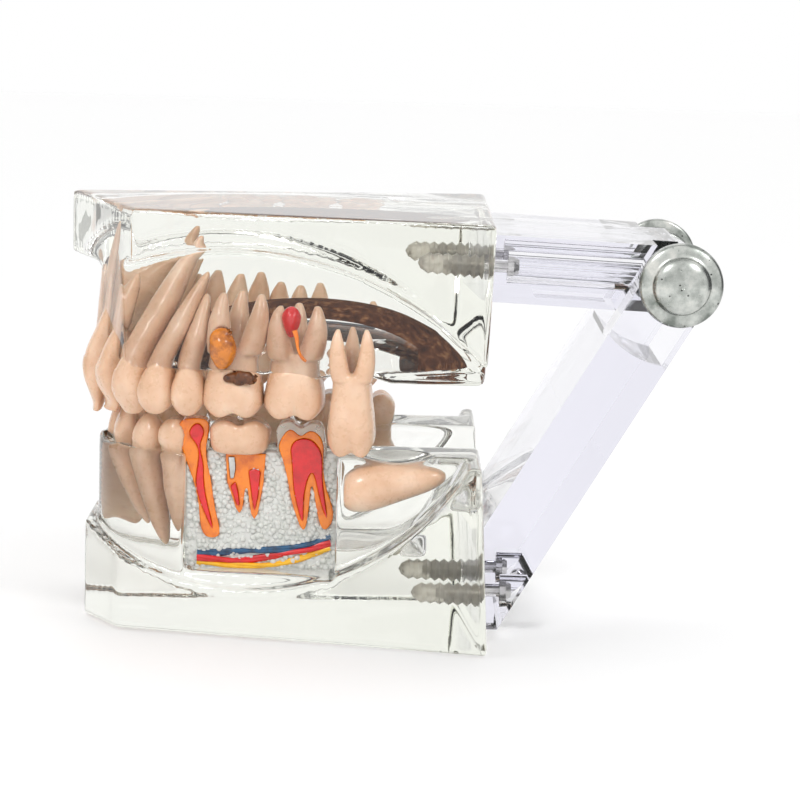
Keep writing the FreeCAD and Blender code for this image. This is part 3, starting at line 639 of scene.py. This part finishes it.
def sections():
    for name in ("lower_left_second_premolar_dentine", "lower_left_first_molar_dentine",
                 "lower_left_second_molar_dentine"):
        soft_copy(name, ORANGE, PAINT_VOXEL, 4, forward=0.15 * MM)
    soft_copy("lower_left_second_molar_enamel", ENAMEL, PAINT_VOXEL, 4, forward=0.12 * MM)
    for name in ("lower_left_second_premolar_pulp", "lower_left_first_molar_canals",
                 "lower_left_second_molar_pulp"):
        soft_copy(name, RED, PULP_VOXEL, 5, forward=0.45 * MM)
    soft_copy("lower_left_first_molar_post", STEEL, PULP_VOXEL, 3, forward=0.35 * MM)
    roughened(soft_copy("upper_cyst", CARAMEL, LESION_VOXEL, 3), 330.0, 0.55 * MM)
    roughened(soft_copy("upper_molar_caries", CARIES, LESION_VOXEL, 3), 600.0, 0.7 * MM)
    abscess()


def roughened(piece, frequency, height):
    """Swells a smooth blob unevenly, as daubed paint is."""
    for vertex in piece.data.vertices:
        vertex.co += vertex.normal * noise.noise(vertex.co * frequency) * height


def abscess():
    """A red drop at the root's tip with its orange tract running down the root."""
    low, high = (vec(c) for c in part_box("upper_abscess"))
    drop_half = 2.7 * MM
    centre = Vector((low.x + 1.8 * MM, (low.y + high.y) / 2, high.z - drop_half))
    drop = egg_mesh(centre, 1.8 * MM, 1.0 * MM)
    for vertex in drop.vertices:
        away = vertex.co - centre
        height = away.z / MM
        narrow = 0.55 + 0.45 * min(1.0, max(0.0, (height + 1.0) / 1.4))
        vertex.co = centre + Vector((away.x * narrow, away.y * 1.6 * narrow, height * drop_half))
    for polygon in drop.polygons:
        polygon.use_smooth = True
    piece = link("abscess_drop", drop, "upper_jaw", RED)
    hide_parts("upper_abscess")
    route = [(0.6, -1.2, 0.9), (1.0, -2.4, 0.7), (1.1, -3.8, 0.5),
             (1.5, -5.2, 0.5), (2.2, -6.2, 0.6), (2.7, -6.5, 0.4)]
    points = [centre + Vector((x * MM, -1.75 * MM, z * MM)) for x, z, _ in route]
    tract = tube_mesh(points, [0.55 * MM * r for _, _, r in route])
    link("abscess_tract", tract, "upper_jaw", ORANGE)


def tube_mesh(points, radii):
    """A smooth round tube through points with a radius at each."""
    curve = bpy.data.curves.new("tube", "CURVE")
    curve.dimensions = "3D"
    curve.bevel_depth = 1.0
    curve.bevel_resolution = 4
    curve.use_fill_caps = True
    spline = curve.splines.new("NURBS")
    spline.points.add(len(points) - 1)
    for point, place, radius in zip(spline.points, points, radii):
        point.co = (*place, 1)
        point.radius = radius
    spline.order_u = 3
    spline.use_endpoint_u = True
    source = bpy.data.objects.new("tube", curve)
    bpy.context.collection.objects.link(source)
    bpy.context.view_layer.update()
    mesh = bpy.data.meshes.new_from_object(source.evaluated_get(bpy.context.evaluated_depsgraph_get()))
    bpy.data.objects.remove(source)
    for polygon in mesh.polygons:
        polygon.use_smooth = True
    return mesh


def bone_beads():
    """White granules packed in the window round the sectioned teeth."""
    low, high = (vec(c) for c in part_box("cancellous_bone"))
    rng = random.Random(7)
    ball = bmesh.new()
    bmesh.ops.create_icosphere(ball, subdivisions=2, radius=1.0)
    coords = [v.co.copy() for v in ball.verts]
    faces = [[v.index for v in f.verts] for f in ball.faces]
    ball.free()
    verts, polygons = [], []
    pitch = 0.86 * MM
    columns = int((high.x - low.x) / pitch)
    rows = int((high.z - low.z) / pitch)
    for row in range(rows):
        for column in range(columns):
            radius = rng.uniform(0.36, 0.66) * MM
            centre = Vector((
                low.x + (column + 0.5 * (row % 2) + 0.5) * pitch + rng.uniform(-0.3, 0.3) * MM,
                low.y + rng.uniform(0.45, 0.85) * MM,
                low.z + (row + 0.5) * pitch + rng.uniform(-0.3, 0.3) * MM,
            ))
            start = len(verts)
            verts += [centre + c * radius for c in coords]
            polygons += [[start + i for i in f] for f in faces]
    mesh = bpy.data.meshes.new("beads")
    mesh.from_pydata(verts, [], polygons)
    for polygon in mesh.polygons:
        polygon.use_smooth = True
    link("bone_granules", mesh, "lower_jaw", BEADS)
    soft_copy("cancellous_bone", BEADS, BONE_VOXEL, 3, forward=-0.5 * MM)


def nerve_strands():
    """Hand-laid twisted threads of the nerve, artery and vein."""
    rng = random.Random(3)
    for node, material, slot, phase in (
            ("mandibular_nerve", YELLOW, "yellow_paint", 0.0),
            ("mandibular_artery", RED, "red_paint", 2.1),
            ("mandibular_vein", BLUE, "blue_paint", 4.2)):
        low, high = (vec(c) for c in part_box(node))
        for thread in range(2):
            points, radii = [], []
            count = 14
            for i in range(count):
                share = i / (count - 1)
                sag = math.sin(math.pi * share) * 0.4 * MM
                turn = phase + share * 7.0 + thread * 1.5
                z = low.z + 0.45 * MM + (high.z - low.z - 0.9 * MM) * share ** 2.4 - sag
                z += math.sin(turn) * 0.35 * MM
                y = low.y + 0.25 * MM + math.cos(turn) * 0.25 * MM
                points.append(Vector((low.x + (high.x - low.x) * share, y, z)))
                radii.append(rng.uniform(0.36, 0.52) * MM)
            name = f"{node}_thread_{thread}"
            piece = link(name, tube_mesh(points, radii), "lower_jaw", material)
            if thread == 0:
                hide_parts(node)


# ---------------------------------------------------------------- hinge and metal

def lathe(name, outline, origin, direction, steps=96):
    """Revolves a radius-height outline about the Y axis through origin."""
    verts, faces = [], []
    for i in range(steps):
        angle = 2 * math.pi * i / steps
        for radius, height in outline:
            verts.append((origin.x + radius * math.cos(angle), origin.y + direction * height,
                          origin.z + radius * math.sin(angle)))
    count = len(outline)
    for i in range(steps):
        j = (i + 1) % steps
        for k in range(count - 1):
            faces.append((i * count + k, j * count + k, j * count + k + 1, i * count + k + 1))
    mesh = bpy.data.meshes.new(name)
    mesh.from_pydata(verts, [], faces)
    shape = bmesh.new()
    shape.from_mesh(mesh)
    bmesh.ops.remove_doubles(shape, verts=shape.verts, dist=1e-6)
    bmesh.ops.recalc_face_normals(shape, faces=shape.faces)
    shape.to_mesh(mesh)
    shape.free()
    for polygon in mesh.polygons:
        polygon.use_smooth = True
    return mesh


def rod_caps():
    for node, direction in (("left_rod_cap", -1), ("right_rod_cap", 1)):
        low, high = (vec(c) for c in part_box(node))
        inner_y = high.y if direction < 0 else low.y
        radius = (high.x - low.x) / 2
        height = high.y - low.y
        outline = [(0, 0), (radius - 0.5 * MM, 0), (radius - 0.15 * MM, 0.12 * MM), (radius, 0.45 * MM),
                   (radius, 1.5 * MM), (radius - 0.15 * MM, 1.9 * MM), (radius - 0.6 * MM, 2.25 * MM),
                   (5.6 * MM, 2.5 * MM), (5.1 * MM, 2.62 * MM), (4.85 * MM, 2.9 * MM)]
        for i in range(1, 13):
            angle = math.radians(7.0 * i)
            outline.append((4.85 * MM * math.cos(angle), 2.9 * MM + (height - 2.9 * MM) * math.sin(angle)))
        outline += [(0.45 * MM, height), (0.3 * MM, height - 0.18 * MM), (0, height - 0.25 * MM)]
        mesh = lathe(node, outline, Vector((ROD.x, inner_y, ROD.z)), direction)
        piece = link(node + "_look", mesh, "lower_jaw", ZINC)
        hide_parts(node)


def carried_nodes():
    """CAD nodes whose own shape is right, with better materials."""
    looks = {"hinge_rod": STEEL, "upper_arm": ACRYLIC, "lower_arm": ACRYLIC, "implant_fixture": IMPLANT,
             "palate_lining": BROWN, "upper_screw_anchors": ANCHOR, "lower_screw_anchors": ANCHOR}
    for jaw in ("upper", "lower"):
        for hand in ("left", "right"):
            looks[jaw + "_" + hand + "_screw"] = STEEL
    for name, material in looks.items():
        node = NODES[name]
        for slot in node.material_slots:
            slot.material = material
        if material in (ACRYLIC, ANCHOR):
            node.visible_shadow = False


# ---------------------------------------------------------------- stage

def camera_and_light():
    scene = bpy.context.scene
    camera = bpy.data.objects.new("camera", bpy.data.cameras.new("camera"))
    scene.collection.objects.link(camera)
    camera.data.lens = 127.35
    camera.data.sensor_width = 36.0
    camera.data.clip_end = 10.0
    pitch, roll, yaw = math.radians(8.64), math.radians(1.60), math.radians(0.14)
    camera.location = (1.84 * MM, -503.1 * MM, 115.0 * MM)
    look = Matrix.Rotation(-yaw, 4, "Z") @ Matrix.Rotation(math.pi / 2 - pitch, 4, "X")
    camera.rotation_euler = (look @ Matrix.Rotation(roll, 4, "Z")).to_euler()
    scene.camera = camera
    scene.view_settings.view_transform = "Standard"

    floor_mesh = prism_mesh([(-2, -2), (2, -2), (2, 2), (-2, 2)], "z", GROUND_Z - 0.012, GROUND_Z - 0.0002)
    floor = bpy.data.objects.new("floor", floor_mesh)
    scene.collection.objects.link(floor)
    white, _, shader = new_material("white_sweep")
    shader.inputs["Base Color"].default_value = (0.99, 0.99, 0.99, 1)
    shader.inputs["Roughness"].default_value = 0.6
    floor.data.materials.append(white)

    world = bpy.data.worlds.new("studio")
    world.use_nodes = True
    world.node_tree.nodes["Background"].inputs["Color"].default_value = (1, 1, 1, 1)
    world.node_tree.nodes["Background"].inputs["Strength"].default_value = 1.0
    scene.world = world
    softbox((-0.30, -0.40, 0.50), 0.16, 0.9)
    softbox((0.36, -0.36, 0.45), 0.14, 0.7)
    flag("flag_left", (-0.42, 0.12, 0.08), (0.02, 0.14, 0.5))
    flag("flag_right", (0.42, 0.05, 0.08), (0.02, 0.3, 0.5))
    flag("flag_top", (0.0, 0.0, 0.60), (0.5, 0.10, 0.02))


def softbox(place, size, power):
    light = bpy.data.lights.new("softbox", "AREA")
    light.energy = power
    light.size = size
    lamp = bpy.data.objects.new("softbox", light)
    bpy.context.collection.objects.link(lamp)
    lamp.location = place
    aim = Vector((0, 0, 0.035)) - Vector(place)
    lamp.rotation_euler = aim.to_track_quat("-Z", "Y").to_euler()


def flag(name, centre, size):
    """A dark card outside the picture that draws the edges of clear parts."""
    x, y = size[0] / 2, size[1] / 2
    mesh = prism_mesh([(-x, -y), (x, -y), (x, y), (-x, y)], "z", -size[2] / 2, size[2] / 2)
    card = bpy.data.objects.new(name, mesh)
    bpy.context.collection.objects.link(card)
    card.location = centre
    material, _, shader = new_material(name)
    shader.inputs["Base Color"].default_value = (0.10, 0.10, 0.11, 1)
    card.data.materials.append(material)


upper_jaw_block()
lower_jaw_block()
whole_teeth()
sections()
bone_beads()
nerve_strands()
rod_caps()
carried_nodes()
camera_and_light()
